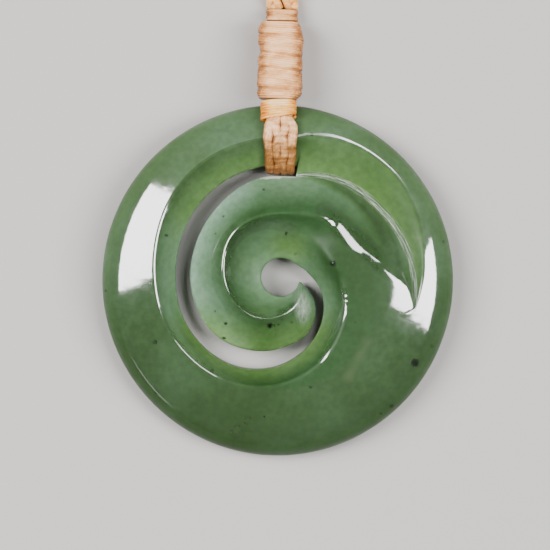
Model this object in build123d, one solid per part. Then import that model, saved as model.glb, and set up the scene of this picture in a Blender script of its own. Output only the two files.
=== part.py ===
from build123d import *
import os
from math import asin, atan2, cos, degrees, radians, sin, sqrt, tan

# A koru pendant of polished green stone on a plaited, waxed neck cord.
# The koru is a domed disc with a spiral cut into its face. The cut starts as a notch on the
# right, deepens into a groove, and becomes a pierced slot that winds in to a drilled hole.
# The stone between the turns of the cut is the coil, which ends in a small beak at the hole.
# A flat plait folds through the slot and round the top of the disc. A collar of turns holds
# its front leg, a whipping binds both legs to the neck cord, and the cord is one closed loop.
# The pendant lies on its back on the plane z = 0, propped at its top by the fold of the strap.
# Lengths are millimetres. While the pieces are made, the disc's centre is the zero of the plan,
# +Y points from the disc to its binding, and azimuths run anticlockwise from +X. At the end the
# whole is moved so that the middle of its outline is the zero.

# Disc
disc_radius = 20.0
disc_thickness = 6.2
rim_height = 1.2
dome_spread = 3.0
dome_fullness = 2.5
void_edge_height = 2.48
bowl_start = 15.0
bowl_end = 80.0
bowl_hollow = 1.3
bevel_swell = 0.05

# Strap and collar
clearance = 0.12
binding_shift = 0.3
strap_thickness = 0.8
strap_width = 3.7
strap_waist = 3.15
strap_neck = 3.2
crest_bend = 0.6
slot_bend = 0.8
fold_bend = 0.6
crest_lift = 0.05
front_leg_end = 5.2
collar_width = 4.15
collar_wall = 0.22
collar_length = 2.5
collar_rake = 1.7

# Whipping
whipping_gap = 0.45
whipping_width = 5.35
whipping_height = 6.0
whipping_length = 9.0
whipping_corner = 0.40
upper_shift = 0.5
upper_width = 3.75
upper_height = 2.9
upper_length = 1.4
upper_taper = 0.8

# Neck cord
cord_diameter = 1.9

# Azimuths at which the spiral starts, the groove is first cut right through and the coil ends
# in its beak, the turn in which the slot opens, and how many rows of facets a turn has
notch_azimuth = -11.0
pierced_azimuth = 80.6
beak_azimuth = 356.5
slot_end_turn = 0.6
rows_per_turn = 100

# The ring outside the cut, from the notch round to the notch again. Radii are shares of the
# disc's radius and heights are shares of its thickness:
# azimuth, edge of the cut, crest, edge height.
RING = [
    (-11, 0.785, 0.791, 0.800),
    (-6, 0.780, 0.799, 0.710),
    (0, 0.772, 0.813, 0.630),
    (8, 0.764, 0.829, 0.560),
    (22, 0.737, 0.851, 0.480),
    (40, 0.699, 0.862, 0.420),
    (60, 0.673, 0.850, 0.400),
    (80, 0.658, 0.821, 0.400),
    (100, 0.653, 0.809, 0.400),
    (120, 0.638, 0.799, 0.400),
    (140, 0.618, 0.768, 0.400),
    (160, 0.594, 0.722, 0.400),
    (180, 0.581, 0.689, 0.400),
    (200, 0.578, 0.672, 0.400),
    (220, 0.566, 0.647, 0.400),
    (240, 0.547, 0.626, 0.400),
    (260, 0.510, 0.598, 0.400),
    (280, 0.456, 0.553, 0.400),
    (300, 0.396, 0.504, 0.400),
    (320, 0.333, 0.450, 0.400),
    (335, 0.288, 0.416, 0.400),
    (349, 0.245, 0.386, 0.400),
]
# The coil inside the cut, from the notch round to the beak. The ridge is the ring's crest
# wound in one turn further, which sinks into the bowl round the hole:
# azimuth, edge at the void, ridge, crest, crest height, edge of the cut.
COIL = [
    (-11, 0.245, 0.386, 0.779, 0.815, 0.785),
    (-6, 0.230, 0.373, 0.752, 0.840, 0.780),
    (0, 0.213, 0.361, 0.712, 0.870, 0.772),
    (8, 0.190, 0.345, 0.615, 0.920, 0.764),
    (22, 0.165, 0.319, 0.527, 0.950, 0.737),
    (40, 0.142, 0.305, 0.479, 0.962, 0.699),
    (60, 0.136, 0.295, 0.430, 0.970, 0.673),
    (80, 0.133, 0.275, 0.393, 0.970, 0.602),
    (100, 0.126, 0.255, 0.382, 0.960, 0.594),
    (120, 0.116, 0.245, 0.378, 0.950, 0.558),
    (140, 0.107, 0.230, 0.358, 0.940, 0.527),
    (160, 0.098, 0.210, 0.323, 0.930, 0.507),
    (180, 0.091, 0.190, 0.297, 0.920, 0.496),
    (200, 0.086, 0.175, 0.271, 0.910, 0.484),
    (220, 0.083, 0.165, 0.252, 0.900, 0.472),
    (240, 0.083, 0.155, 0.231, 0.880, 0.439),
    (260, 0.086, 0.145, 0.207, 0.855, 0.406),
    (280, 0.091, 0.137, 0.185, 0.820, 0.373),
    (300, 0.098, 0.133, 0.168, 0.780, 0.345),
    (320, 0.107, 0.133, 0.156, 0.720, 0.282),
    (335, 0.114, 0.131, 0.148, 0.660, 0.222),
    (350, 0.120, 0.126, 0.135, 0.570, 0.150),
    (357, 0.122, 0.124, 0.127, 0.500, 0.130),
]

# The whipping's girth from its lower end: share of its length, share of its width, share of
# its height, sideways shift as a share of its width.
WHIPPING = [
    (0.00, 0.80, 0.98, -0.050),
    (0.10, 0.98, 1.00, -0.015),
    (0.33, 0.97, 0.97, -0.010),
    (0.52, 0.96, 0.91, 0.000),
    (0.62, 0.91, 0.87, 0.020),
    (0.77, 1.00, 0.85, 0.015),
    (0.89, 0.93, 0.78, -0.010),
    (1.00, 0.80, 0.68, 0.000),
]

# The neck cord's route on the surface, from its right leg round to its left: sideways from the
# disc's centre, and onwards from the end of the binding.
CORD_ROUTE = [
    (1.64, 0.0),
    (1.95, 16.0),
    (8.0, 38.0),
    (23.0, 62.5),
    (42.0, 89.5),
    (59.5, 120.5),
    (70.0, 155.5),
    (69.0, 192.5),
    (54.5, 224.5),
    (27.0, 246.0),
    (-8.0, 252.0),
    (-42.0, 240.0),
    (-64.5, 212.0),
    (-73.0, 176.5),
    (-69.0, 139.5),
    (-54.5, 106.5),
    (-36.0, 79.0),
    (-19.0, 55.0),
    (-5.8, 33.5),
    (-1.15, 15.0),
    (-0.58, 0.0),
]


def dome_height(radius):
    """Height of the uncarved face at a distance from the disc's axis."""
    share = min(radius / disc_radius, 1.0)
    crown = (1 - share**dome_spread) ** (1 / dome_fullness)
    return rim_height + (disc_thickness - rim_height) * crown


def read_table(table, azimuth):
    """The columns of a table at an azimuth, on a smooth curve through its rows."""
    last = len(table) - 2
    low = last
    for number in range(last):
        if azimuth < table[number + 1][0]:
            low = number
            break
    rows = [table[max(low - 1, 0)], table[low], table[low + 1], table[min(low + 2, last + 1)]]
    span = rows[2][0] - rows[1][0]
    share = (azimuth - rows[1][0]) / span
    values = []
    for column in range(1, len(table[0])):
        before, start, end, after = (row[column] for row in rows)
        start_slope = (end - before) / (rows[2][0] - rows[0][0]) * span
        end_slope = (after - start) / (rows[3][0] - rows[1][0]) * span
        values.append(
            start * (1 + 2 * share) * (1 - share) ** 2
            + start_slope * share * (1 - share) ** 2
            + end * share**2 * (3 - 2 * share)
            + end_slope * share**2 * (share - 1)
        )
    return values


def smooth_step(share):
    """A ramp from 0 to 1 with level ends."""
    share = min(max(share, 0.0), 1.0)
    return share * share * (3 - 2 * share)


def spread(start, end, steps):
    """Evenly spaced values from start to end, without the end itself."""
    return [start + (end - start) * step / steps for step in range(steps)]


def ring_face(azimuth):
    """Radii and heights across the ring's face, from the cut's edge up to the rim."""
    edge, crest, edge_share = read_table(RING, azimuth)
    edge *= disc_radius
    crest *= disc_radius
    edge_z = edge_share * disc_thickness
    crest_z = dome_height(crest)
    profile = []
    for radius in spread(edge, crest, 3):
        share = (radius - edge) / (crest - edge)
        profile.append((radius, edge_z + (crest_z - edge_z) * share))
    crest_turn = degrees(asin(crest / disc_radius))
    for turn in spread(crest_turn, 90, 11):
        radius = disc_radius * sin(radians(turn))
        profile.append((radius, dome_height(radius)))
    profile.append((disc_radius, rim_height))
    return profile


def ring_back(azimuth):
    """Radii and heights of the ring's lower edge and back, from the rim in to the cut."""
    edge = read_table(RING, azimuth)[0] * disc_radius
    flat = disc_radius - rim_height
    profile = []
    for turn in (30, 60):
        radius = flat + rim_height * cos(radians(turn))
        profile.append((radius, rim_height * (1 - sin(radians(turn)))))
    profile += [(radius, 0.0) for radius in spread(flat, edge, 2)]
    profile.append((edge, 0.0))
    return profile


def coil_face(azimuth):
    """Radii and heights across the coil's face, from the cut's edge in to the void."""
    void, ridge, crest, crest_share, edge = read_table(COIL, azimuth)
    void *= disc_radius
    ridge *= disc_radius
    crest *= disc_radius
    edge *= disc_radius
    void_z = void_edge_height
    crest_z = crest_share * disc_thickness
    edge_z = read_table(RING, min(azimuth, RING[-1][0]))[2] * disc_thickness
    bowl = smooth_step((azimuth - bowl_start) / (bowl_end - bowl_start))
    profile = []
    for radius in spread(edge, crest, 4):
        share = (edge - radius) / (edge - crest)
        swell = bevel_swell * 4 * share * (1 - share)
        profile.append((radius, edge_z + (crest_z - edge_z) * (share + swell)))
    radii = spread(crest, ridge, 5) + spread(ridge, void, 3) + [void]
    for radius in radii:
        share = (radius - void) / (crest - void)
        hollow_z = void_z + (crest_z - void_z) * share**bowl_hollow
        ridge_z = void_z + (dome_height(ridge) - void_z) * (radius - void) / (ridge - void)
        shoulder_z = min(dome_height(radius), ridge_z)
        profile.append((radius, shoulder_z + (hollow_z - shoulder_z) * bowl))
    return profile


def coil_back(azimuth):
    """Radii and heights of the coil's back, from the void out to the cut."""
    void, _, crest, _, edge = (share * disc_radius for share in read_table(COIL, azimuth))
    return [(void, 0.0), (crest, 0.0), (edge, 0.0)]


def place_row(azimuth, profile):
    """The points of a profile at an azimuth."""
    turn = radians(azimuth)
    return [(radius * cos(turn), radius * sin(turn), height) for radius, height in profile]


def shares_along(row):
    """How far along a row of points each one lies, from 0 to 1."""
    lengths = [0.0]
    for start, end in zip(row, row[1:]):
        step = sqrt(sum((a - b) ** 2 for a, b in zip(start, end)))
        lengths.append(lengths[-1] + step)
    return [length / lengths[-1] for length in lengths]


def stitch(first, second):
    """Triangles between two rows of points, which may differ in number."""
    if len(first) == len(second):
        first_shares = range(len(first))
        second_shares = range(len(second))
    else:
        first_shares = shares_along(first)
        second_shares = shares_along(second)
    triangles = []
    i = 0
    j = 0
    while i < len(first) - 1 or j < len(second) - 1:
        first_left = i < len(first) - 1
        second_left = j < len(second) - 1
        if first_left and (not second_left or first_shares[i + 1] <= second_shares[j + 1]):
            triangles.append((first[i], first[i + 1], second[j]))
            i += 1
        else:
            triangles.append((first[i], second[j + 1], second[j]))
            j += 1
    return triangles


def closed_solid(triangles):
    """A solid from triangles that meet edge to edge."""
    faces = []
    for corners in triangles:
        if len(set(corners)) == 3:
            faces.append(Face(Wire.make_polygon(corners, close=True)))
    return Solid(Shell(faces))


def row_azimuths():
    """Azimuths of the rows of facets, which come close together where the slot opens."""
    turn = 360 / rows_per_turn
    count = int((beak_azimuth - notch_azimuth) / turn) + 1
    even = [notch_azimuth + turn * row for row in range(count)]
    start = pierced_azimuth - slot_end_turn
    rows = [row for row in even if row < start - turn / 4 or row > pierced_azimuth + turn / 4]
    return sorted(rows + [start, pierced_azimuth])


def flat_koru():
    """The carved stone, lying flat with its back on z = 0."""
    azimuths = row_azimuths()
    first_pierced_row = azimuths.index(pierced_azimuth)
    rings = []
    coils = []
    for azimuth in azimuths:
        face = place_row(azimuth, coil_face(azimuth))
        coils.append((face, place_row(azimuth, coil_back(azimuth))))
    ring_end = notch_azimuth + 360 - slot_end_turn
    for row, azimuth in enumerate(azimuth for azimuth in azimuths if azimuth < ring_end):
        face = place_row(azimuth, ring_face(azimuth))
        back = place_row(azimuth, ring_back(azimuth))
        if row < first_pierced_row:
            face[0] = coils[row][0][0]
            back[-1] = coils[row][1][-1]
        rings.append((face, back))
    joined_face = coils[0][0][:0:-1] + rings[0][0]
    joined_back = rings[0][1] + coils[0][1][-2::-1]
    rings.append((joined_face, joined_back))
    triangles = []
    for strip in (rings, coils):
        for before, after in zip(strip, strip[1:]):
            triangles += stitch(before[0] + before[1], after[0] + after[1])
        pierced = strip[first_pierced_row - 1 :]
        for before, after in zip(pierced, pierced[1:]):
            triangles += stitch([before[1][-1], before[0][0]], [after[1][-1], after[0][0]])
    outline = coils[-1][0] + coils[-1][1]
    middle = tuple(sum(values) / len(outline) for values in zip(*outline))
    for start, end in zip(outline, outline[1:] + outline[:1]):
        triangles.append((start, end, middle))
    return closed_solid(triangles)


# The strap hangs in the pierced slot just behind the top of the disc.
strap_corner = binding_shift + strap_waist / 2
slot_outer = sqrt((read_table(RING, 90)[0] * disc_radius) ** 2 - strap_corner**2)
slot_inner = read_table(COIL, 90)[4] * disc_radius
strap_y = (slot_outer + slot_inner) / 2
pivot_y = -(disc_radius - rim_height)
lean = asin((strap_thickness + 2 * clearance) / (strap_y - strap_thickness / 2 - pivot_y))


def lifted(y, z):
    """Where a point of the flat disc's section at x = 0 is once the disc leans on its strap."""
    along = y - pivot_y
    above = z - rim_height
    return (
        pivot_y + along * cos(lean) - above * sin(lean),
        rim_height + along * sin(lean) + above * cos(lean),
    )


whipping_start = lifted(disc_radius, rim_height)[0] + whipping_gap
upper_start = whipping_start + whipping_length + clearance
binding_end = upper_start + upper_length


def leaning_koru():
    """The carved stone as it lies, its lower edge on the surface and its top on the strap."""
    hinge = Axis((0, pivot_y, rim_height), (1, 0, 0))
    return flat_koru().rotate(hinge, degrees(lean))


def strap_corners():
    """Corners of the strap's middle line in the YZ plane, from its front leg round the ring."""
    edge, crest, edge_share = read_table(RING, 90)
    half = strap_thickness / 2 + clearance
    edge_y, edge_z = lifted(edge * disc_radius, edge_share * disc_thickness)
    crest_y, crest_z = lifted(crest * disc_radius, dome_height(crest * disc_radius))
    bevel = atan2(crest_z - edge_z, crest_y - edge_y)
    slot_y = lifted(strap_y, edge_share * disc_thickness)[0]
    fold_y = lifted(strap_y, 0)[0]
    above_edge = half / cos(bevel)
    slot_z = edge_z + above_edge - (edge_y - slot_y) * tan(bevel)
    leg_end = whipping_start - clearance
    leg_slope = atan2(crest_z + half - front_leg_end, leg_end - crest_y)
    top_z = crest_z + crest_lift + half / cos((bevel + leg_slope) / 2)
    floor_z = strap_thickness / 2
    return [
        (leg_end, front_leg_end),
        (crest_y, top_z),
        (slot_y, slot_z),
        (fold_y, floor_z),
        (leg_end, floor_z),
    ]


def ring_strap():
    """A flat plait folded round the top of the ring, wide over its crest and narrow in the slot."""
    corners = [Vector(binding_shift, y, z) for y, z in strap_corners()]
    path = FilletPolyline(*corners, radius=[crest_bend, slot_bend, fold_bend])
    start = Plane(origin=corners[0], x_dir=(1, 0, 0), z_dir=corners[1] - corners[0])
    band = sweep(start * Rectangle(strap_width, strap_thickness), path=path)
    slot_y = corners[2].Y
    crest_y = corners[1].Y
    leg_y = corners[0].Y
    collar_y = whipping_start - collar_length
    half_widths = [
        (slot_y - 2 * strap_thickness, strap_waist / 2),
        (slot_y + strap_thickness, strap_waist / 2),
        (crest_y, strap_width / 2),
        (crest_y + (collar_y - crest_y) * 0.6, strap_width / 2),
        (collar_y - clearance, strap_neck / 2),
        (leg_y, strap_neck / 2),
    ]
    plan = [(binding_shift + half, y) for y, half in half_widths]
    plan += [(binding_shift - half, y) for y, half in reversed(half_widths)]
    outline = make_face(Polyline(*plan, close=True))
    return band & extrude(outline, 3 * disc_thickness)


def strap_collar():
    """Turns of thread round the strap's front leg, raked back where they meet the rim."""
    end, top = (Vector(binding_shift, y, z) for y, z in strap_corners()[:2])
    along_leg = Plane(origin=end, x_dir=(1, 0, 0), z_dir=top - end)
    slack = clearance / 2
    thickness = strap_thickness + 2 * (slack + collar_wall)
    outside = RectangleRounded(collar_width, thickness, 0.45 * thickness)
    inside = Rectangle(strap_neck + 2 * slack, strap_thickness + 2 * slack)
    tube = extrude(along_leg * (outside - inside), 2 * collar_length)
    high = end.Z + 2 * thickness
    low = end.Z - thickness
    front_y = whipping_start - collar_length
    side = [
        (end.Y, low),
        (end.Y, high),
        (front_y, high),
        (front_y, end.Z + thickness),
        (front_y + collar_rake, low),
    ]
    profile = make_face(Plane.YZ * Polyline(*side, close=True))
    keep = extrude(profile, disc_radius, both=True)
    return tube & keep


def girth(shift, y, width, height):
    """One rounded section of a binding that lies on the surface."""
    middle = Plane(origin=(shift, y, height / 2), x_dir=(1, 0, 0), z_dir=(0, 1, 0))
    corner = whipping_corner * min(width, height)
    return (middle * RectangleRounded(width, height, corner)).wire()


def whipping():
    """The thread wound round both legs of the strap and the ends of the neck cord."""
    sections = []
    for along, wide, high, shift in WHIPPING:
        centre = binding_shift + shift * whipping_width
        y = whipping_start + along * whipping_length
        sections.append(girth(centre, y, wide * whipping_width, high * whipping_height))
    return Solid.make_loft(sections)


def upper_whipping():
    """The last few turns, drawn in tight where the two legs of the neck cord leave them."""
    sections = [
        girth(upper_shift, upper_start, upper_width, upper_height),
        girth(upper_shift, binding_end, upper_width, upper_height * upper_taper),
    ]
    return Solid.make_loft(sections)


def neck_cord():
    """The plaited cord, a plain loop laid on the surface with both its ends in the binding."""
    start = binding_end + clearance
    points = [Vector(x, start + y, cord_diameter / 2) for x, y in CORD_ROUTE]
    radii = []
    for before, point, after in zip(points, points[1:], points[2:]):
        turn = radians((point - before).get_angle(after - point))
        shorter = min((point - before).length, (after - point).length)
        radii.append(0.45 * shorter / tan(turn / 2))
    print("neck cord radii", [round(radius) for radius in radii])
    path = FilletPolyline(*points, radius=radii)
    end = Plane(origin=points[0], z_dir=points[1] - points[0])
    tube = sweep(end * Circle(cord_diameter / 2), path=path)
    section = radians(180) * cord_diameter**2 / 4
    share = tube.volume / section / path.length
    print("neck cord length", round(path.length, 1), "volume share", round(share, 4))
    return tube


if __name__ == "__main__":
    pieces = {
        "koru": leaning_koru(),
        "ring_strap": ring_strap(),
        "strap_collar": strap_collar(),
        "whipping": whipping(),
        "upper_whipping": upper_whipping(),
        "neck_cord": neck_cord(),
    }
    boxes = [piece.bounding_box() for piece in pieces.values()]
    middle_x = (min(box.min.X for box in boxes) + max(box.max.X for box in boxes)) / 2
    middle_y = (min(box.min.Y for box in boxes) + max(box.max.Y for box in boxes)) / 2
    print("disc centre", round(-middle_x, 3), round(-middle_y, 3), "lean", round(degrees(lean), 3))
    os.makedirs("parts", exist_ok=True)
    for name, piece in pieces.items():
        export_step(Pos(-middle_x, -middle_y, 0) * piece, f"parts/{name}.step")
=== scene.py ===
import math
import random
import bmesh
import bpy
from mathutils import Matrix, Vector, noise


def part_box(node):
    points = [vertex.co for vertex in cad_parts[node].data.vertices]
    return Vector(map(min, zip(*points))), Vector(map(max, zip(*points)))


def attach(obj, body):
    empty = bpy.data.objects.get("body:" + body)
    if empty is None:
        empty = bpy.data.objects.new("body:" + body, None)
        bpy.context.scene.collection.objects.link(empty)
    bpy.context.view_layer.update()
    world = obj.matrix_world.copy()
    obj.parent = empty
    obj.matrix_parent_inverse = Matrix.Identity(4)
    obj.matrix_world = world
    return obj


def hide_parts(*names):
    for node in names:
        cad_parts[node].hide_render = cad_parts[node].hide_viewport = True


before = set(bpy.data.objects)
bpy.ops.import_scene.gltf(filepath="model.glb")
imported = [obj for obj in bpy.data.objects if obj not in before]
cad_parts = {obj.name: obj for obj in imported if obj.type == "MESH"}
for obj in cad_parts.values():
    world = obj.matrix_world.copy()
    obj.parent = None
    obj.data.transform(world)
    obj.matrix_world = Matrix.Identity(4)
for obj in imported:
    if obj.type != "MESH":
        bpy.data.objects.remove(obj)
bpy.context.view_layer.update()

# The pieces' lengths are millimetres from the disc's centre, with +Y towards the binding, and
# they become metres in the frame when an object is made. The floor's and lamps' are metres.
MM = 0.001
# How steeply the stone leans on the fold of its strap, and where its back meets the surface
LEAN_SLOPE = 0.03373
LEAN_FOOT = -18.8
stone_low, stone_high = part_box("koru")
centre = Vector(((stone_low.x + stone_high.x) / 2, (stone_low.y + stone_high.y) / 2, 0.0))
RIGHT = Vector((1, 0, 0))
ONWARD = Vector((0, 1, 0))
UP = Vector((0, 0, 1))

# Camera, straight above, framing 62.7 mm at a level just over the surface
FRAMED_LEVEL = 1.6
CAMERA_AWAY = 348.3
camera_data = bpy.data.cameras.new("view")
camera_data.sensor_width = 36.0
camera_data.lens = 200.0
camera_data.clip_start = 0.01
camera_data.clip_end = 20.0
camera = bpy.data.objects.new("view", camera_data)
bpy.context.collection.objects.link(camera)
camera.location = centre + Vector((-0.30, 0.64, CAMERA_AWAY + FRAMED_LEVEL)) * MM
bpy.context.scene.camera = camera

# The neck cord's route, sideways from the disc's centre and onwards from its binding
CORD_START = 31.07
CORD_RADIUS = 0.95
CORD_ROUTE = [
    (1.64, 0.0), (1.95, 16.0), (8.0, 38.0), (23.0, 62.5), (42.0, 89.5), (59.5, 120.5),
    (70.0, 155.5), (69.0, 192.5), (54.5, 224.5), (27.0, 246.0), (-8.0, 252.0),
    (-42.0, 240.0), (-64.5, 212.0), (-73.0, 176.5), (-69.0, 139.5), (-54.5, 106.5),
    (-36.0, 79.0), (-19.0, 55.0), (-5.8, 33.5), (-1.15, 15.0), (-0.58, 0.0),
]


def between(value, low, high):
    """How far a value is from low to high, kept within 0 and 1."""
    return min(max((value - low) / (high - low), 0.0), 1.0)


def heading(points, number):
    """The direction of a line at one of its points."""
    ahead = points[min(number + 1, len(points) - 1)]
    behind = points[max(number - 1, 0)]
    return (ahead - behind).normalized()


def lengths_along(points):
    """How far each point of a line is from its start, along the line."""
    lengths = [0.0]
    for start, end in zip(points, points[1:]):
        lengths.append(lengths[-1] + (end - start).length)
    return lengths


def evenly(points, step):
    """The points of a line again, about a step apart, ends included."""
    lengths = lengths_along(points)
    count = max(2, round(lengths[-1] / step))
    found = []
    index = 0
    for number in range(count + 1):
        target = lengths[-1] * number / count
        while index < len(points) - 2 and lengths[index + 1] < target:
            index += 1
        span = lengths[index + 1] - lengths[index]
        share = (target - lengths[index]) / span if span else 0.0
        found.append(points[index].lerp(points[index + 1], min(share, 1.0)))
    return found


def route_points():
    """Points along the neck cord's smooth route."""
    curve = bpy.data.curves.new("route", "CURVE")
    curve.dimensions = "3D"
    curve.resolution_u = 40
    spline = curve.splines.new("NURBS")
    spline.points.add(len(CORD_ROUTE) - 1)
    for point, (x, y) in zip(spline.points, CORD_ROUTE):
        point.co = (x, CORD_START + y, CORD_RADIUS, 1.0)
    spline.order_u = 3
    spline.use_endpoint_u = True
    holder = bpy.data.objects.new("route", curve)
    bpy.context.collection.objects.link(holder)
    mesh = bpy.data.meshes.new_from_object(holder)
    points = [vertex.co.copy() for vertex in mesh.vertices]
    bpy.data.objects.remove(holder)
    bpy.data.meshes.remove(mesh)
    return points


class Yarn:
    """Strands of one piece, with what their material reads: the way round and along each
    strand, and how pale it is, which also holds painted light and shade."""

    def __init__(self):
        self.vertices = []
        self.faces = []
        self.thread = []
        self.pale = []

    def add(self, points, radius, sides, up, pale, flatness=1.0, seam_shade=0.0):
        """Adds a strand along points. Its darker seams, painted shade, lie on the sides that up
        points to.
        """
        start = len(self.vertices)
        travelled = lengths_along(points)
        for number, point in enumerate(points):
            along = heading(points, number)
            side = along.cross(up).normalized()
            top = side.cross(along).normalized()
            here = radius[number] if isinstance(radius, list) else radius
            for corner in range(sides + 1):
                turn = 2 * math.pi * corner / sides
                beside = math.sin(turn)
                self.vertices.append(
                    point + side * math.cos(turn) * here + top * beside * here * flatness)
                self.thread.append((corner / sides, travelled[number]))
                # Painted shade: darker seams where the strand meets its neighbours
                self.pale.append((pale[number] - seam_shade * abs(beside) ** 3, 0.0))
        ring = sides + 1
        for number in range(len(points) - 1):
            for corner in range(sides):
                a = start + number * ring + corner
                self.faces.append((a, a + ring, a + 1 + ring, a + 1))
        self.faces.append(tuple(start + corner for corner in range(sides)))
        last = start + (len(points) - 1) * ring
        self.faces.append(tuple(last + corner for corner in reversed(range(sides))))

    def make(self, name):
        """The object, from millimetres round the disc's centre."""
        mesh = bpy.data.meshes.new(name)
        mesh.from_pydata([centre + vertex * MM for vertex in self.vertices], [], self.faces)
        for layer_name, values in (("thread", self.thread), ("pale", self.pale)):
            layer = mesh.uv_layers.new(name=layer_name)
            for loop in mesh.loops:
                layer.data[loop.index].uv = values[loop.vertex_index]
        mesh.shade_smooth()
        piece = bpy.data.objects.new(name, mesh)
        bpy.context.collection.objects.link(piece)
        return piece


# Neck cord: a round plait of three strands. Near its ends it is a little wider, and its legs
# are drawn towards the line midway between them.
PLAIT_LAY = 5.2
PLAIT_STEP = 0.45
STRAND_RADIUS = 0.45
STRAND_SWING = 0.47
STRAND_RISE = 0.44
LEGS_MIDDLE = 0.53


def plaited_cord():
    """The neck cord's strands, each a third of a lay after the one before."""
    route = evenly(route_points(), PLAIT_STEP)
    travelled = lengths_along(route)
    whole = PLAIT_STEP * (len(route) - 1)
    yarn = Yarn()
    for strand in range(3):
        points = []
        for number, point in enumerate(route):
            across = UP.cross(heading(route, number))
            turn = 2 * math.pi * (travelled[number] / PLAIT_LAY + strand / 3)
            from_end = min(travelled[number], whole - travelled[number])
            near = 1 - between(from_end, 1.5, 6.0)
            offset = (STRAND_SWING + 0.10 * near) * math.sin(turn)
            rise = STRAND_RISE * math.sin(2 * turn)
            pinch = Vector((0.23 * near * (LEGS_MIDDLE - point.x), 0, 0))
            points.append(point + across * offset + pinch + Vector((0, 0, rise)))
        yarn.add(points, STRAND_RADIUS, 7, UP, [0.78] * len(points))
    return yarn.make("neck_cord_plait")


cord_piece = plaited_cord()


# Strap: the middle line of the flat plait, from its front leg round the ring to its back leg
STRAP_LINE = [
    (20.3, 5.20), (19.3, 5.56), (18.2, 5.95), (17.1, 6.32), (16.45, 6.52), (16.1, 6.56),
    (15.75, 6.40), (14.8, 5.64), (13.7, 4.76), (12.9, 4.12), (12.52, 3.72), (12.4, 3.15),
    (12.44, 2.0), (12.46, 1.1), (12.62, 0.64), (13.05, 0.43), (14.2, 0.42), (16.5, 0.42),
    (20.3, 0.42),
]
STRAP_X = 0.3
STRAP_STEP = 0.16
# A strand's radius in front, and where the strap lies pressed flat under the ring
STRAP_RADIUS = 0.42
PRESSED_RADIUS = 0.36
# Where along the strap its inner strands are widest apart, and how often they cross
WIDEST_AT = 2.5
CROSS_EVERY = 3.6
# Half the strap's width, and where it passes over the ring's crest
HALF_BEHIND = 1.57
HALF_IN_SLOT = 1.60
HALF_ON_CREST = 1.83
CREST_Y = 16.1


def strap_half(y, z):
    """Half the strap's width where it is at y and z: widest on the ring's crest."""
    if z < 1.5:
        return HALF_BEHIND
    if y < CREST_Y:
        return HALF_IN_SLOT + 0.23 * between(y, 12.4, CREST_Y)
    return HALF_ON_CREST - 0.40 * between(y, 17.4, 18.3)


def outer_strand(half, travelled, side):
    """How far a strand at the strap's edge is from its middle line, sideways and outwards."""
    across = side * (half - 0.48 + 0.05 * math.sin(1.9 * travelled + side))
    return across, 0.05 * math.sin(1.3 * travelled + 2 * side) - 0.04


def inner_strand(half, travelled, side):
    """How far one of the two crossing strands is from the middle line."""
    swing = math.cos(math.pi * (travelled - WIDEST_AT) / CROSS_EVERY)
    swing = math.copysign(abs(swing) ** 0.6, swing)
    sway = 0.46 + 0.14 * (1 - between(travelled, 3.2, 5.0))
    across = side * sway * half / 1.7 * swing
    return across, side * 0.035 * (1 - swing * swing) + 0.005


def plaited_strap():
    """Four strands round the ring, two at the edges and two that cross, on a dark web that is
    painted shade between them.
    """
    line = evenly([Vector((STRAP_X, y, z)) for y, z in STRAP_LINE], STRAP_STEP)
    travelled = lengths_along(line)
    yarn = Yarn()
    for side, strand in ((-1, outer_strand), (1, outer_strand),
                         (-1, inner_strand), (1, inner_strand)):
        points = []
        thickness = []
        pale = []
        for number, point in enumerate(line):
            normal = heading(line, number).cross(RIGHT).normalized()
            free = between(point.z, 0.5, 1.5)
            across, lift = strand(strap_half(point.y, point.z), travelled[number], side)
            points.append(point + Vector((across, 0, 0)) + normal * lift * free)
            thickness.append(PRESSED_RADIUS + (STRAP_RADIUS - PRESSED_RADIUS) * free)
            # Painted light and shade: lighter on the ring's crest, darker on the leg that slopes
            # away below it
            pale.append(1.04 - 0.74 * (1 - between(point.y, 13.6, 16.9)))
        yarn.add(points, thickness, 12, RIGHT, pale, flatness=1.30, seam_shade=0.36)
    # A dark sheet behind the strands, standing for the shade between them
    yarn.add(line, 0.10, 16, RIGHT, [0.0] * len(line), flatness=12.0)
    return yarn.make("plaited_strap")


strap_piece = plaited_strap()


# Bindings: share of the length, share of the width and of the height, shift over the width
WHIPPING = [
    (0.00, 0.80, 0.98, -0.050),
    (0.10, 0.98, 1.00, -0.015),
    (0.33, 0.97, 0.97, -0.010),
    (0.52, 0.96, 0.91, 0.000),
    (0.62, 0.91, 0.87, 0.020),
    (0.77, 1.00, 0.85, 0.015),
    (0.89, 0.93, 0.78, -0.010),
    (1.00, 0.80, 0.68, 0.000),
]
UPPER = [(0.00, 1.00, 1.00, 0.0), (1.00, 1.00, 0.80, 0.0)]
CORE_SIDES = 40
CORE_RINGS = 12
TURN_STEPS = 60
# The thread's radius. In radii: how far its turns are apart, less than two so that they
# overlap, how deep its middle lies below the girth, how much that varies from turn to turn,
# and how deep the core's surface lies.
BINDING_THREAD = 0.17
TURN_PITCH = 1.45
TURN_DEPTH = 1.10
TURN_UNEVEN = 0.22
CORE_DEPTH = 1.2
# How far a turn strays along the binding, and the half width and depth of the hollows
TURN_STRAY = 0.09
HOLLOW_REACH = 0.20
HOLLOW_DEPTH = 0.11


def girth_at(table, share):
    """The columns of a binding's table at a share of its length."""
    share = between(share, 0.0, 1.0)
    for row, following in zip(table, table[1:]):
        if share <= following[0]:
            part = (share - row[0]) / (following[0] - row[0])
            part = part * part * (3 - 2 * part)
            return [a + (b - a) * part for a, b in zip(row[1:], following[1:])]
    return list(table[-1][1:])


def on_girth(turn, half_width, half_height, squareness=3.0):
    """A point on a rounded rectangle round the origin."""
    across = math.cos(turn)
    above = math.sin(turn)
    reach = (abs(across) ** squareness + abs(above) ** squareness) ** (-1 / squareness)
    return across * reach * half_width, above * reach * half_height


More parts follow.
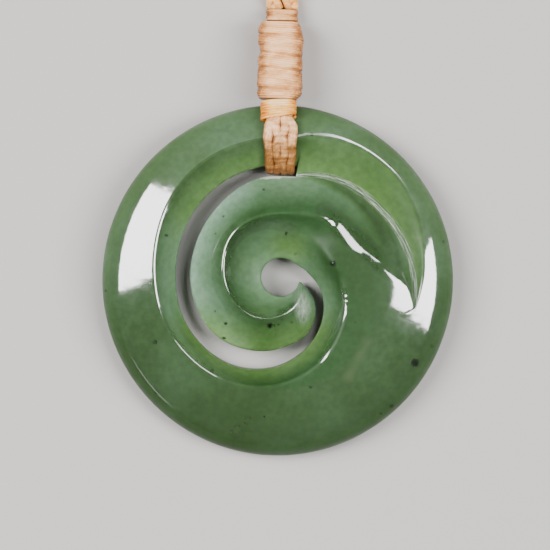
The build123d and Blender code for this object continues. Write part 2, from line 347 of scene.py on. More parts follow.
def binding_core(table, x, y, length, width, height, inset):
    """What a thread is wound on: a cylinder that is cut into rings and shaped by its table."""
    bpy.ops.object.select_all(action="DESELECT")
    bpy.ops.mesh.primitive_cylinder_add(
        vertices=CORE_SIDES,
        radius=MM / 2,
        depth=(length - 2 * inset) * MM,
        calc_uvs=False,
        location=centre + Vector((x, y + length / 2, height / 2)) * MM,
        rotation=(math.pi / 2, 0, 0),
    )
    core = bpy.context.object
    bpy.ops.object.transform_apply(location=True, rotation=True, scale=True)
    bpy.ops.object.mode_set(mode="EDIT")
    for ring in range(1, CORE_RINGS):
        bpy.ops.mesh.select_all(action="SELECT")
        bpy.ops.mesh.bisect(
            plane_co=centre + Vector((x, y + length * ring / CORE_RINGS, 0)) * MM,
            plane_no=ONWARD,
        )
    bpy.ops.object.mode_set(mode="OBJECT")
    for vertex in core.data.vertices:
        spot = (vertex.co - centre) / MM
        wide, high, shift = girth_at(table, (spot.y - y) / length)
        turn = math.atan2(spot.z - height / 2, spot.x - x)
        across, above = on_girth(turn, wide * width / 2 - inset, high * height / 2 - inset)
        vertex.co.x = centre.x + (x + shift * width + across) * MM
        vertex.co.z = (high * height / 2 + above) * MM
    return core


def joined(piece, other):
    """The first object with the second one's mesh in it."""
    bpy.ops.object.select_all(action="DESELECT")
    piece.select_set(True)
    other.select_set(True)
    bpy.context.view_layer.objects.active = piece
    bpy.ops.object.join()
    return piece


def drawn(values, place):
    """A random row's value at a place between two of its numbers."""
    whole = int(place)
    return values[whole] + (values[whole + 1] - values[whole]) * (place - whole)


def wound(name, table, x, y, length, width, height, seed, slant, hollows):
    """Close slanting turns of thread from y upwards, in bands with hollows between them."""
    thread = BINDING_THREAD
    rng = random.Random(seed)
    turns = round(length / (TURN_PITCH * thread))
    proud = [rng.uniform(-1, 1) for _ in range(turns + 2)]
    stray = [rng.uniform(-1, 1) for _ in range(turns + 2)]
    points = []
    pale = []
    for number in range(turns * TURN_STEPS + 1):
        turn_number = number / TURN_STEPS
        place = turn_number / turns
        turn = 2 * math.pi * (turn_number % 1.0) - math.pi / 2
        forward = thread + (length - 2 * thread) * place
        sunk = 0.0
        for hollow in hollows:
            sunk += math.exp(-((place - hollow) * length / HOLLOW_REACH) ** 2)
        room = min(1.0, 4 * place, 4 * (1 - place))
        strays = TURN_STRAY * drawn(stray, turn_number) * math.sin(turn + 2 * place)
        forward += room * (strays - slant * math.cos(turn))
        forward = min(max(forward, thread), length - thread)
        wide, high, shift = girth_at(table, forward / length)
        inset = thread * (TURN_DEPTH - TURN_UNEVEN * drawn(proud, turn_number))
        inset += HOLLOW_DEPTH * sunk
        half_width = wide * width / 2 - inset
        half_height = high * height / 2 - inset
        across, above = on_girth(turn, half_width, half_height)
        points.append(Vector((x + shift * width + across, y + forward,
                              high * height / 2 + above)))
        # Painted shade and light: darker towards the sides and in the hollows, lighter where a
        # turn stands proud; the amber at the sides is partly where wax gathers
        beside = between(abs(across) / half_width, 0.50, 1.0)
        pale.append(0.98 - 0.75 * beside - 0.38 * sunk + 0.10 * drawn(proud, turn_number))
    yarn = Yarn()
    yarn.add(points, thread, 7, ONWARD, pale, seam_shade=0.18)
    core = binding_core(table, x, y, length, width, height, CORE_DEPTH * thread)
    return joined(yarn.make(name), core)


whipping_piece = wound(
    "wound_whipping", WHIPPING, x=0.3, y=20.43, length=9.08, width=5.35, height=6.0,
    seed=4, slant=0.30, hollows=(0.13, 0.39, 0.58, 0.83))
upper_piece = wound(
    "wound_upper_whipping", UPPER, x=0.5, y=29.47, length=1.5, width=3.75, height=2.9,
    seed=9, slant=0.06, hollows=(0.5,))


# Collar: seven turns of golden thread round the strap's front leg, lower on the left
COLLAR_X = STRAP_X - 0.2
COLLAR_TURNS = 7
COLLAR_THREAD = 0.18
COLLAR_HALF_WIDTH = 2.06
COLLAR_HALF_DEPTH = 0.68
# How far its thread runs up the leg at most, how far its last turn is from the first, and how
# much lower it ends up on the left
COLLAR_LENGTH = 2.25
COLLAR_RUN = 1.90
COLLAR_SLANT = 0.26


def wound_collar():
    """Uneven turns of waxed thread round the sloping front leg of the strap."""
    rng = random.Random(12)
    thread = COLLAR_THREAD
    leg_end = Vector((COLLAR_X, 20.26, 5.22))
    leg_top = Vector((COLLAR_X, 16.13, 6.69))
    along = (leg_top - leg_end).normalized()
    above = along.cross(RIGHT)
    half_width = COLLAR_HALF_WIDTH - thread
    proud = [rng.uniform(-1, 1) for _ in range(4 * COLLAR_TURNS + 2)]
    points = []
    pale = []
    for number in range(COLLAR_TURNS * TURN_STEPS + 1):
        place = number / (COLLAR_TURNS * TURN_STEPS)
        turn = 2 * math.pi * number / TURN_STEPS
        lump = drawn(proud, 4 * COLLAR_TURNS * place)
        across, lift = on_girth(turn, half_width - 0.05 * abs(lump),
                                COLLAR_HALF_DEPTH - thread * 0.75 + 0.06 * lump, 2.6)
        back = thread + COLLAR_RUN * place - 0.22 * lift * (1 - place) + 0.07 * lump
        back = min(back, COLLAR_LENGTH) - COLLAR_SLANT * place * across / half_width
        points.append(leg_end + along * back + Vector((across, 0, 0)) + above * lift)
        # Painted shade and light: darker towards the sides, lighter where the thread lumps out;
        # the amber at the sides is partly where wax gathers
        beside = between(abs(across) / half_width, 0.40, 1.0)
        pale.append(0.92 - 0.60 * beside + 0.16 * lump)
    yarn = Yarn()
    yarn.add(points, thread, 8, along, pale, seam_shade=0.15)
    return yarn.make("wound_collar")


collar_piece = wound_collar()


# Crests that wear has rounded: from and to azimuth, from and to distance, strength
WORN = [(12, 82, 15.3, 18.7, 14), (10, 60, 9.2, 12.0, 8)]
# Bends in degrees: edges above the first are crests, and above the second they are kept sharp
CREST_BEND = 18
CUT_BEND = 22
# The sharpest crease, and the azimuths between which wear has softened what is above a height,
# with the degrees over which that fades in and out
SHARPEST = 0.86
CREST_HEIGHT = 3.7
SOFT_FROM = -30
SOFT_TO = 100
SOFT_FADE = 30
# The middle of the hole, and how deep the marks of polishing and the ripples beside it are
HOLE = Vector((0.5, 0.4, 0.0))
WAVE_DEPTH = 0.0032
RIPPLE_DEPTH = 0.0045


def stone_height(spot):
    """Height over the stone's own flat back, of a spot in millimetres from its centre."""
    return spot.z - (spot.y - LEAN_FOOT) * LEAN_SLOPE


def azimuth_of(spot):
    """Degrees round the disc from +X, up to 180 either way."""
    return math.degrees(math.atan2(spot.y, spot.x))


def wear_crests(cage):
    """Rounds the crests that the table of wear names, most in the middle of each."""
    spots = {vertex: (vertex.co - centre) / MM for vertex in cage.verts}
    for low, high, nearest, farthest, rounds in WORN:
        crest = set()
        for vertex, spot in spots.items():
            reach = math.hypot(spot.x, spot.y)
            if stone_height(spot) < 3.0 or not nearest < reach < farthest:
                continue
            bends = [edge.calc_face_angle(0.0) for edge in vertex.link_edges]
            if max(bends) > math.radians(CREST_BEND):
                crest.add(vertex)
        beside = {edge.other_vert(vertex) for vertex in crest for edge in vertex.link_edges}
        for number in range(rounds):
            trim = 0.45 * (high - low) * number / rounds
            inside = [vertex for vertex in crest | beside
                      if low + trim < azimuth_of(spots[vertex]) < high - trim]
            bmesh.ops.smooth_vert(cage, verts=inside, factor=0.5,
                                  use_axis_x=True, use_axis_y=True, use_axis_z=True)


def crease_edges(cage):
    """Keeps the cut edges and the crests, but for those that wear has rounded."""
    crease = cage.edges.layers.float.get("crease_edge")
    if crease is None:
        crease = cage.edges.layers.float.new("crease_edge")
    for edge in cage.edges:
        edge[crease] = 0.0
        if len(edge.link_faces) != 2:
            continue
        bend = math.degrees(edge.calc_face_angle(0.0))
        if bend < CUT_BEND:
            continue
        spot = ((edge.verts[0].co + edge.verts[1].co) / 2 - centre) / MM
        azimuth = azimuth_of(spot)
        sharp = min(SHARPEST, (bend - CUT_BEND) / 45 + 0.35)
        if stone_height(spot) > CREST_HEIGHT and SOFT_FROM < azimuth < SOFT_TO:
            worn = min(1.0, (azimuth - SOFT_FROM) / SOFT_FADE, (SOFT_TO - azimuth) / SOFT_FADE)
            sharp *= 1 - 0.85 * worn
        edge[crease] = sharp


def polish_marks(skin):
    """Faint waves from polishing by hand, and ripples beside the hole, in the surface itself."""
    # All normals are read before any vertex moves, because each move makes them stale
    normals = [vertex.normal.copy() for vertex in skin.vertices]
    for vertex, normal in zip(skin.vertices, normals):
        spot = (vertex.co - centre) / MM
        if stone_height(spot) < 0.6:
            continue
        waves = noise.noise(Vector((spot.x * 0.8, spot.y * 1.9, spot.z)))
        waves += 0.5 * noise.noise(Vector((spot.x * 1.9, spot.y * 3.1, 7.0)))
        from_hole = math.hypot(spot.x - HOLE.x, spot.y - HOLE.y)
        ripples = math.sin(from_hole * 11.0 + 2.0 * noise.noise(spot * 0.7))
        ripples *= 1 - between(from_hole, 3.0, 5.0)
        ripples *= 1 - between(spot.x, -1.2, 0.6)
        vertex.co += normal * MM * (WAVE_DEPTH * waves + RIPPLE_DEPTH * ripples)


def polished_stone():
    """The koru with its facets smoothed away and its cut edges kept."""
    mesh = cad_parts["koru"].data.copy()
    mesh.name = "carved_stone"
    mesh.materials.clear()
    cage = bmesh.new()
    cage.from_mesh(mesh)
    bmesh.ops.remove_doubles(cage, verts=cage.verts, dist=2e-6)
    bmesh.ops.join_triangles(
        cage,
        faces=cage.faces,
        cmp_seam=False,
        cmp_sharp=False,
        cmp_uvs=False,
        cmp_vcols=False,
        cmp_materials=False,
        angle_face_threshold=math.radians(32),
        angle_shape_threshold=math.radians(75),
    )
    wear_crests(cage)
    crease_edges(cage)
    cage.to_mesh(mesh)
    cage.free()
    cage_object = bpy.data.objects.new("carved_cage", mesh)
    bpy.context.collection.objects.link(cage_object)
    smooth = cage_object.modifiers.new("skin", "SUBSURF")
    smooth.levels = 2
    smooth.render_levels = 2
    depsgraph = bpy.context.evaluated_depsgraph_get()
    skin = bpy.data.meshes.new_from_object(cage_object.evaluated_get(depsgraph))
    bpy.data.objects.remove(cage_object)
    polish_marks(skin)
    skin.shade_smooth()
    piece = bpy.data.objects.new("carved_stone", skin)
    bpy.context.collection.objects.link(piece)
    return piece


stone_piece = polished_stone()


# Materials
class Wire:
    """What a shader node gives, which can stand in a sum as a number does."""

    def __init__(self, shade, output):
        self.shade = shade
        self.output = output

    def calc(self, operation, other=None, flipped=False):
        pair = (other, self) if flipped else (self, other)
        return self.shade.node("Math", {"operation": operation}, dict(enumerate(pair)))

    def __add__(self, other):
        return self.calc("ADD", other)

    def __radd__(self, other):
        return self.calc("ADD", other, True)

    def __sub__(self, other):
        return self.calc("SUBTRACT", other)

    def __rsub__(self, other):
        return self.calc("SUBTRACT", other, True)

    def __mul__(self, other):
        return self.calc("MULTIPLY", other)

    def __rmul__(self, other):
        return self.calc("MULTIPLY", other, True)

    def __truediv__(self, other):
        return self.calc("DIVIDE", other)

    def __abs__(self):
        return self.calc("ABSOLUTE")

    def root(self):
        return self.calc("SQRT")

    def most(self, other):
        return self.calc("MAXIMUM", other)


class Shade:
    """A material at work, with one way to make any node."""

    def __init__(self, name):
        self.material = bpy.data.materials.new(name)
        self.material.use_nodes = True
        self.tree = self.material.node_tree
        self.main = self.tree.nodes["Principled BSDF"]

    def node(self, kind, settings, sockets, output=0):
        """A node with its settings and then its sockets. A ramp and a curve start with two
        points, which take the first two rows of stops or bends."""
        made = self.tree.nodes.new("ShaderNode" + kind)
        for key, value in settings.items():
            if key == "stops":
                stops = made.color_ramp.elements
                for number, (position, colour) in enumerate(value):
                    stop = stops[number] if number < 2 else stops.new(position)
                    stop.position = position
                    stop.color = (*colour, 1.0)
            elif key == "bends":
                bends = made.mapping.curves[0].points
                for number, position in enumerate(value):
                    if number < 2:
                        bends[number].location = position
                    else:
                        bends.new(*position)
                made.mapping.update()
            else:
                setattr(made, key, value)
        for key, value in sockets.items():
            if isinstance(value, Wire):
                self.tree.links.new(value.output, made.inputs[key])
            elif value is not None:
                made.inputs[key].default_value = value
        return Wire(self, made.outputs[output])

    def split(self, vector):
        """The three numbers of a vector."""
        first = self.node("SeparateXYZ", {}, {0: vector})
        return [Wire(self, output) for output in first.output.node.outputs]

    def join(self, x, y, z):
        """A vector of three numbers."""
        return self.node("CombineXYZ", {}, {0: x, 1: y, 2: z})

    def spread(self, value, low, high, start, end):
        """A value that goes from start to end while another goes from low to high."""
        return self.node("MapRange", {}, {0: value, 1: low, 2: high, 3: start, 4: end})

    def rise(self, value, low, high):
        """0 up to low and 1 from high on."""
        return self.spread(value, low, high, 0.0, 1.0)

    def fall(self, value, low, high):
        """1 up to low and 0 from high on."""
        return self.spread(value, low, high, 1.0, 0.0)

    def noise(self, at, scale, detail=2.0, roughness=0.5, distortion=0.0):
        return self.node("TexNoise", {}, {
            "Vector": at, "Scale": scale, "Detail": detail, "Roughness": roughness,
            "Distortion": distortion})

    def ramp(self, value, stops):
        return self.node("ValToRGB", {"stops": stops}, {0: value})

    def mix(self, share, first, second, way="MIX"):
        return self.node("Mix", {"data_type": "RGBA", "blend_type": way},
                         {0: share, 6: first, 7: second}, 2)

    def tinted(self, share, colour, tint):
        """A colour multiplied by a tint, as far as the share says."""
        return self.mix(share, colour, (*tint, 1.0), "MULTIPLY")

    def bump(self, height, strength, distance):
        return self.node("Bump", {}, {
            "Strength": strength, "Distance": distance, "Height": height})

    def put(self, **values):
        """Sets the shader's own sockets, named with _ for a space."""
        self.fill(self.main, values)

    def fill(self, shader, values):
        for name, value in values.items():
            socket = shader.inputs[name.replace("_", " ")]
            if isinstance(value, Wire):
                self.tree.links.new(value.output, socket)
            else:
                socket.default_value = value

    def second_finish(self, **values):
        """Another shader for the same material."""
        shader = self.tree.nodes.new("ShaderNodeBsdfPrincipled")
        self.fill(shader, values)
        return Wire(self, shader.outputs[0])

    def finish_with(self, share, second):
        """Mixes a second finish into the first one by a share."""
        both = self.node("MixShader", {}, {
            0: share, 1: Wire(self, self.main.outputs[0]), 2: second})
        self.tree.links.new(both.output, self.tree.nodes["Material Output"].inputs["Surface"])

    def local(self):
        """Millimetres from the disc's centre."""
        place = self.node("TexCoord", {}, {}, "Object")
        shift = self.node("VectorMath", {"operation": "SUBTRACT"}, {0: place, 1: tuple(centre)})
        return self.node("VectorMath", {"operation": "SCALE"}, {0: shift, 3: 1 / MM})


# Small dark inclusions: across, up, radius, darkness
SPECKS = [
    (6.2, 1.95, 0.34, 0.95), (0.96, 5.3, 0.18, 0.8), (2.0, 3.0, 0.20, 0.35),
    (9.75, 3.0, 0.15, 0.8), (10.15, 2.85, 0.13, 0.9), (10.5, 2.6, 0.14, 0.8),
    (10.0, 2.45, 0.10, 0.8), (-0.87, -5.06, 0.30, 1.0), (-0.45, -5.1, 0.13, 0.9),
    (0.09, -4.95, 0.08, 0.8), (1.64, -4.7, 0.15, 0.45), (2.9, -4.4, 0.22, 0.5),
    (-5.9, -4.8, 0.18, 0.9), (-6.1, -6.5, 0.18, 0.9), (-5.5, -1.3, 0.10, 0.7),
    (-7.1, -3.5, 0.11, 0.6), (15.55, -9.3, 0.42, 0.95), (12.9, -14.2, 0.22, 0.9),
    (11.7, -15.05, 0.14, 0.8), (3.7, -12.0, 0.20, 0.6), (-1.5, -15.3, 0.10, 0.5),
    (17.5, -7.4, 0.20, 0.5), (-7.4, -10.1, 0.22, 0.6), (-13.8, -6.9, 0.28, 0.5),
    (-19.5, -1.16, 0.14, 0.8), (-12.6, 5.1, 0.19, 0.9), (3.85, 16.5, 0.16, 0.8),
    (7.1, 16.0, 0.13, 0.6), (-1.55, 10.3, 0.14, 0.7), (-7.05, 5.3, 0.13, 0.7),
    (-6.1, 7.3, 0.12, 0.6), (0.4, 9.0, 0.09, 0.5), (12.6, 13.0, 0.16, 0.4),
    (8.7, -4.65, 0.13, 0.6), (18.8, 4.4, 0.16, 0.5),
]
# A painted highlight: a pale spot inside the first of them, where it is a tiny pit: across, up,
# radius
PIT_GLINT = (6.18, 2.0, 0.10)
# Pale veins: from across and up, to across and up, half width, strength
VEINS = [(10.2, -7.0, 8.0, -10.8, 0.80, 0.16), (-8.3, -1.6, -7.9, -2.7, 0.18, 0.3)]
# The end of the beak, rough with frost, where a pale painted highlight lies: across, up, half
# width, half height
BEAK = (2.85, -3.0, 1.0, 2.0)
# Polished crests of the coil: from across and up, to across and up, half width
CRESTS = [
    (5.4, 7.8, 12.9, 1.1, 1.00),
    (7.5, -1.1, 7.55, -3.2, 0.26),
    (7.55, -3.2, 5.0, -8.9, 0.30),
]
# Where the cut meets the ring, which stays rough and pale: azimuth, distance from the axis.
# Its two ends come first, and its curve runs over these degrees and this distance.
KERF = [(-14, 15.75), (78, 12.25), (0, 15.44), (22, 14.74), (40, 13.98), (60, 13.3)]
KERF_FROM = -20
KERF_DEGREES = 100
KERF_REACH = 20
# Height of the opening's chipped edge over the stone's back
EDGE_HEIGHT = 2.44
# How far red, green and blue light go into the stone
TRANSLUCENT = {
    "Subsurface_Weight": 0.45,
    "Subsurface_Radius": (0.55, 1.0, 0.40),
    "Subsurface_Scale": 0.0008,
}


class Greenstone(Shade):
    """The stone's material, with the places and the patterns that its features share."""

    def __init__(self):
        super().__init__("greenstone")
        self.spot = self.local()
        self.x, self.y, z = self.split(self.spot)
        self.height = z - (self.y - LEAN_FOOT) * LEAN_SLOPE
        self.reach = (self.x * self.x + self.y * self.y).root()
        self.azimuth = self.y.calc("ARCTAN2", self.x) * (180 / math.pi)
        normal = self.split(self.node("NewGeometry", {}, {}, "Normal"))
        self.upward = normal[2]
        self.outward = (normal[0] * self.x + normal[1] * self.y) / self.reach
        self.mottle = self.noise(self.spot, 0.75, 3.0)
        self.grain = self.noise(self.spot, 1.5, 1.0, 0.5)
        self.ragged = (self.noise(self.spot, 5.0, 3.0) - 0.5) * 0.5
        self.coil = self.fall(self.reach, 11.8, 12.7)
        self.inner = self.fall(self.outward, -0.06, 0.10).most(self.coil)
        self.seen = self.spread(self.upward, -0.2, 0.1, 0.3, 1.0)
        self.rim = self.fall(self.upward, 0.74, 0.86) * self.rise(self.reach, 16.8, 17.8)

    def ellipse(self, across, up, half_width, half_height):
        """1 at an ellipse's edge and 0 at its middle."""
        from_x = (self.x - across) / half_width
        from_y = (self.y - up) / half_height
        return (from_x * from_x + from_y * from_y).root()

    def from_point(self, across, up):
        """How far a place on the stone is from a point, seen from above."""
        off_x = self.x - across
        off_y = self.y - up
        return (off_x * off_x + off_y * off_y).root()

    def from_line(self, start_x, start_y, end_x, end_y):
        """How far a place on the stone is from a straight line, seen from above."""
        run_x = end_x - start_x
        run_y = end_y - start_y
        part = (self.x - start_x) * run_x + (self.y - start_y) * run_y
        part = self.rise(part / (run_x ** 2 + run_y ** 2), 0.0, 1.0)
        off_x = self.x - start_x - part * run_x
        off_y = self.y - start_y - part * run_y
        return (off_x * off_x + off_y * off_y).root()

    def sunny(self):
        """Where the light that comes through is yellow: on the ring's side towards the binding,
        on the coil's side away from it, and beside the hole."""
        sunny = (self.rise(self.azimuth, -25.0, 5.0) * self.fall(self.azimuth, 145.0, 168.0)
                 * self.rise(self.reach, 11.8, 12.6))
        sunny = sunny.most(self.coil * self.rise(self.y, -2.5, -5.5))
        return sunny.most(self.fall(self.ellipse(1.6, 4.2, 3.4, 2.6), 0.3, 1.1))

    def body(self):
        """The clouded green of the stone, lighter where it is thin, where light coming through
        the stone is painted in.
        """
        clouds = self.noise(self.spot, 0.13, 2.5, 0.45, 0.3)
        deep = self.ramp(clouds, [
            (0.28, (0.026, 0.059, 0.016)),
            (0.72, (0.042, 0.088, 0.035)),
            (0.50, (0.032, 0.071, 0.023)),
        ])
        cool = self.ramp(clouds, [(0.30, (0.092, 0.180, 0.080)), (0.70, (0.136, 0.230, 0.136))])
        warm = self.ramp(clouds, [(0.30, (0.072, 0.156, 0.034)), (0.70, (0.114, 0.202, 0.070))])
        # Painted light: where the stone is thin and faces up it is drawn lighter, standing in
        # for light coming through it
        thin_glow = self.fall(self.height, 2.2, 5.4) * self.inner * self.seen
        face = self.tinted(self.coil, deep, (0.72, 0.86, 0.74))
        return self.mix(thin_glow, face, self.mix(self.sunny(), cool, warm))

    def painted_light_and_shade(self, colour):
        """Painted light and shade: lighter, as if lit, on the coil's left flank and on the
        ring's outer side towards the binding, darker, as if shaded, on that side away from the
        binding and on the rim."""
        # Painted light on the coil's left flank, which faces the left lamp
        flank = (self.coil * self.rise(self.outward, 0.02, 0.30)
                 * self.fall(self.x, -6.0, -2.0))
        colour = self.tinted(flank, colour, (1.95, 1.70, 2.35))
        # Painted shade on the ring's outer side away from the binding, which faces away from the
        # lamps
        away = (self.rise(self.reach, 14.8, 17.2) * self.rise(self.y, -4.0, -13.0)
                * self.rise(self.outward, 0.0, 0.2))
        colour = self.tinted(away * 0.28, colour, (0.62, 0.62, 0.54))
        # Painted light on the ring's upper outer side, towards the binding
        towards = (self.rise(self.reach, 13.8, 15.8) * self.rise(self.y, -3.0, 9.0)
                   * self.rise(self.outward, 0.0, 0.15))
        colour = self.tinted(towards, colour, (2.10, 1.76, 2.40))
        # Painted shade on the steep rim
        return self.tinted(self.rim, colour, (0.88, 0.92, 0.80))

    def mottled(self, colour):
        """Uneven in larger patches and in a finer grain."""
        patches = self.ramp(self.mottle, [
            (0.30, (0.90, 0.92, 0.90)), (0.70, (1.07, 1.05, 1.08))])
        grains = self.ramp(self.grain, [
            (0.35, (0.93, 0.93, 0.93)), (0.65, (1.05, 1.05, 1.05))])
        colour = self.mix(1.0, colour, patches, "MULTIPLY")
        return self.mix(1.0, colour, grains, "MULTIPLY")

    def veined(self, colour):
        """Pale veins, dark inclusions and the painted highlight in the first one's pit."""
        for start_x, start_y, end_x, end_y, half, strength in VEINS:
            gap = self.from_line(start_x, start_y, end_x, end_y)
            gap = gap + (self.mottle - 0.5) * half * 2.5
            vein = self.spread(gap, -0.2 * half, half, strength, 0.0)
            colour = self.mix(vein, colour, (0.20, 0.20, 0.12, 1.0))
        dark = None
        for across, up, size, darkness in SPECKS:
            gap = self.from_point(across, up) + self.ragged
            inside = self.spread(gap, size * 0.55, size * 1.35, darkness, 0.0)
            dark = dark.most(inside) if dark else inside
        colour = self.mix(dark * self.seen, colour, (0.0012, 0.0020, 0.0012, 1.0))
        # Painted highlight: a pale spot in the pit of the first inclusion
        across, up, size = PIT_GLINT
        dot = self.spread(self.from_point(across, up), 0.04, size, 0.8, 0.0)
        return self.mix(dot, colour, (0.20, 0.24, 0.18, 1.0))

    def groove(self):
        """The rough groove where the cut meets the ring, and the scratches along its length."""
        bend = self.node("FloatCurve", {
            "bends": [((turn - KERF_FROM) / KERF_DEGREES, distance / KERF_REACH)
                      for turn, distance in KERF],
        }, {"Value": (self.azimuth - KERF_FROM) / KERF_DEGREES})
        offset = self.reach - bend * KERF_REACH
        scratches = self.noise(self.join(offset * 7.0, self.azimuth * 0.10, 0.0), 1.0, 4.0, 0.65)
        width = (self.spread(self.azimuth, -12.0, 25.0, 0.34, 0.55)
                 * self.spread(self.azimuth, 45.0, 78.0, 1.0, 0.62))
        groove = (self.fall(abs(offset) / width + self.ragged * 0.8, 0.45, 1.0)
                  * self.rise(self.azimuth, -13.0, -8.0) * self.fall(self.azimuth, 78.5, 80.5))
        return groove, scratches

    def chips(self):
        """Pale chips along the edges of the opening, and which places are below the strap,
        where most of them are."""
        edge = (self.fall(abs(self.height - EDGE_HEIGHT), 0.05, 0.24)
                * self.fall(self.reach, 14.5, 15.0) * self.rise(self.reach, 3.8, 4.4))
        chipped = self.noise(self.spot, 2.2, 3.0, 0.7)
        under_strap = (self.rise(self.x, -2.6, -1.0) * self.fall(self.x, 1.9, 2.6)
                       * self.rise(self.y, 11.0, 11.4) * self.coil)
        chips = edge * self.rise(chipped + under_strap * 0.22, 0.56, 0.64)
        lip = self.from_line(-1.9, 11.66, 1.9, 11.92) + (chipped - 0.5) * 0.5
        chips = chips.most(self.fall(lip, 0.10, 0.26) * self.coil * self.seen)
        return chips, under_strap

    def crests(self):
        """Crests of the coil that stay polished: left of the hole, and those in the table."""
        left_band = self.ellipse(-0.9, 1.2, 5.0, 5.1)
        crest = self.fall(abs(left_band - 1.02), 0.10, 0.15)
        crest = crest.most(self.fall(abs(left_band - 1.22), 0.08, 0.12)
                           * self.fall(self.x, -5.0, -4.0))
        crest = crest * self.fall(self.x, 1.6, 2.6)
        for start_x, start_y, end_x, end_y, half in CRESTS:
            gap = self.from_line(start_x, start_y, end_x, end_y)
            crest = crest.most(self.fall(gap, half, half * 1.4))
        return crest

    def satin(self):
        """The coil, the lower part of the ring's inner side, all of that side at the right and
        towards the strap, and more weakly the stone beside the strap, but not the crests."""
        satin = self.fall(self.height, 3.0, 4.4) * self.inner
        satin = satin.most(self.inner * self.rise(self.azimuth, -8.0, 2.0)
                           * self.fall(self.azimuth, 78.0, 90.0))
        satin = satin.most(self.coil)
        satin = satin.most(self.spread(self.azimuth, 64.0, 74.0, 0.0, 0.8)
                           * self.fall(self.azimuth, 90.0, 100.0))
        return satin * (1.0 - self.crests())

    def satin_rim(self):
        """The rim, but for a short glint on its upper part at the lower left."""
        glint = (self.rise(self.azimuth, -152.0, -147.0)
                 * self.fall(self.azimuth, -135.0, -128.0)
                 * self.rise(self.upward, 0.745, 0.775))
        return self.rim * (1.0 - glint)


def stone_material():
    """Greenstone in two finishes: glossy on the domes and crests, and satin on the rest."""
    stone = Greenstone()
    colour = stone.veined(stone.mottled(stone.painted_light_and_shade(stone.body())))

    groove, scratches = stone.groove()
    scored = stone.ramp(scratches, [
        (0.38, (0.020, 0.032, 0.016)), (0.60, (0.36, 0.42, 0.33)), (0.49, (0.10, 0.15, 0.09))])
    colour = stone.mix(groove * 0.72, colour, scored)

    chips, under_strap = stone.chips()
    colour = stone.mix(chips * (0.35 + under_strap * 0.5), colour, (0.52, 0.56, 0.48, 1.0))

    # The beak's end: a rough frost in its finish, and a pale painted highlight streaked over it
    frost_and_sheen = stone.fall(stone.ellipse(*BEAK) + stone.ragged * 0.8, 0.3, 1.1)
    streaks = stone.noise(stone.join(stone.x * 4.0, stone.y * 1.3, 0.0), 1.0, 3.0, 0.6)
    # Painted highlight: pale streaks over the beak's end
    colour = stone.mix(frost_and_sheen * stone.spread(streaks, 0.35, 0.62, 0.25, 0.8), colour,
                       (0.34, 0.40, 0.33, 1.0))
    frost = frost_and_sheen * 0.7

    relief = stone.grain * 0.5 + streaks * frost_and_sheen * 1.5 + scratches * groove * 3.0
    wrinkled = stone.bump(relief, 0.16, 0.00010)
    stone.put(
        Base_Color=colour,
        Roughness=stone.spread(stone.grain, 0.3, 0.7, 0.07, 0.12) + frost * 0.30,
        Coat_Weight=1.0 - frost * 0.9,
        Normal=wrinkled,
        IOR=1.61,
        Coat_IOR=1.9,
        Coat_Roughness=0.06,
        **TRANSLUCENT,
    )
    matt = stone.second_finish(
        Base_Color=colour,
        Roughness=0.42,
        Normal=wrinkled,
        IOR=1.61,
        Specular_IOR_Level=0.12,
        **TRANSLUCENT,
    )
    rough = groove.most(chips)
    dull = stone.satin().most(stone.satin_rim()).most(rough * 0.8) * (1.0 - frost)
    stone.finish_with(dull, matt)
    return stone.material


def thread_material(name, colours, twist, breaks):
    """Waxed thread: twisted fibres that break off along the strand, amber where wax gathers and
    where shade is painted at its sides, seams and hollows.
    """
    waxed = Shade(name)
    around, along, _ = waxed.split(waxed.node("UVMap", {"uv_map": "thread"}, {}))
    pale, _, _ = waxed.split(waxed.node("UVMap", {"uv_map": "pale"}, {}))
    angle = (around + along * twist) * (2 * math.pi)
    fibres = waxed.noise(waxed.join(angle.calc("COSINE") * 1.3, angle.calc("SINE") * 1.3,
                                    along * breaks), 2.4, 4.0, 0.65)
    local = waxed.local()
    drawn_out = waxed.node("VectorMath", {"operation": "MULTIPLY"},
                           {0: local, 1: (0.45, 1.5, 0.8)})
    stains = waxed.noise(drawn_out, 1.1, 4.0, 0.6)
    level = pale * 0.74 + (fibres - 0.5) * 0.80 + (stains - 0.5) * 1.45
    brown, amber, tan, cream = colours
    colour = waxed.ramp(level, [(0.02, brown), (0.92, cream), (0.30, amber), (0.60, tan)])
    wax = waxed.noise(local, 4.5, 3.0, 0.6)
    waxed.put(
        Base_Color=colour,
        Roughness=waxed.spread(wax, 0.35, 0.65, 0.28, 0.50),
        Normal=waxed.bump(fibres * 0.7 + wax * 1.3, 0.7, 0.00008),
        Specular_IOR_Level=0.35,
        Subsurface_Weight=0.15,
        Subsurface_Radius=(1.0, 0.6, 0.4),
        Subsurface_Scale=0.0003,
    )
    return waxed.material


greenstone = stone_material()
cream = thread_material("cream_thread", (
    (0.26, 0.085, 0.016), (0.52, 0.20, 0.045), (0.82, 0.40, 0.16), (0.98, 0.58, 0.32)),
    twist=0.35, breaks=1.6)
golden = thread_material("golden_thread", (
    (0.42, 0.12, 0.008), (0.78, 0.29, 0.02), (0.96, 0.50, 0.12), (1.0, 0.76, 0.46)),
    twist=0.35, breaks=1.6)
strap_fibre = thread_material("strap_fibre", (
    (0.15, 0.052, 0.010), (0.30, 0.125, 0.030), (0.66, 0.33, 0.13), (0.98, 0.60, 0.34)),
    twist=0.12, breaks=0.5)
cord_fibre = thread_material("cord_fibre", (
    (0.34, 0.11, 0.015), (0.62, 0.25, 0.05), (0.88, 0.45, 0.15), (0.98, 0.60, 0.32)),
    twist=0.25, breaks=0.8)

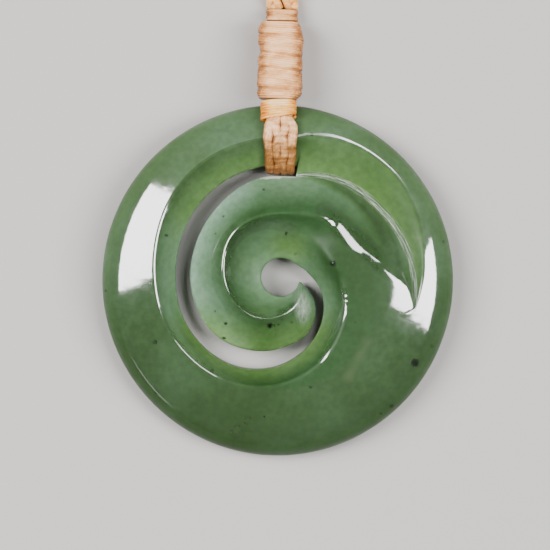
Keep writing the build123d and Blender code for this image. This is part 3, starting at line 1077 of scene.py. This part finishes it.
for piece, material, name, slot in (
    (stone_piece, greenstone, "koru", "greenstone"),
    (strap_piece, strap_fibre, "ring_strap", "strap_plait"),
    (collar_piece, golden, "strap_collar", "binding_thread"),
    (whipping_piece, cream, "whipping", "binding_thread"),
    (upper_piece, cream, "upper_whipping", "binding_thread"),
    (cord_piece, cord_fibre, "neck_cord", "cord_plait"),
):
    piece.data.materials.clear()
    piece.data.materials.append(material)
    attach(piece, "root")
    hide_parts(name)

# Floor
bpy.ops.object.select_all(action="DESELECT")
bpy.ops.mesh.primitive_plane_add(size=6.0)
floor = bpy.context.object
floor.name = "floor"
pale_floor = Shade("pale_floor")
pale_floor.put(Base_Color=(0.44, 0.425, 0.41, 1.0), Roughness=0.75)
floor.data.materials.append(pale_floor.material)


# Lamps: azimuth, and in metres the distance, the lower and upper edge and the width, then glow
LAMPS = {
    "left_softbox": (166.0, 0.45, 0.28, 1.15, 0.345, 19.0),
    "right_softbox": (-4.5, 0.45, 0.28, 1.15, 0.27, 19.0),
    "crest_lamp": (50.0, 0.35, 0.52, 1.05, 0.17, 13.0),
    "rim_lamp": (221.0, 0.45, 0.110, 0.125, 0.17, 2.0),
}


def softbox(name, azimuth, away, low, high, width, glow):
    """An upright soft lamp that faces the stone."""
    area = width * (high - low)
    lamp = bpy.data.lights.new(name, "AREA")
    lamp.shape = "RECTANGLE"
    lamp.size = width
    lamp.size_y = high - low
    lamp.energy = glow * math.pi * area
    holder = bpy.data.objects.new(name, lamp)
    bpy.context.collection.objects.link(holder)
    turn = math.radians(azimuth)
    way = Vector((math.cos(turn), math.sin(turn), 0.0))
    holder.location = centre + way * away + Vector((0, 0, (low + high) / 2))
    holder.rotation_mode = "QUATERNION"
    holder.rotation_quaternion = way.to_track_quat("Z", "Y")


for lamp_name, lamp_sizes in LAMPS.items():
    softbox(lamp_name, *lamp_sizes)

world = bpy.data.worlds.new("room")
world.use_nodes = True
backdrop = world.node_tree.nodes["Background"]
backdrop.inputs["Color"].default_value = (0.88, 0.87, 0.84, 1.0)
backdrop.inputs["Strength"].default_value = 0.14
bpy.context.scene.world = world
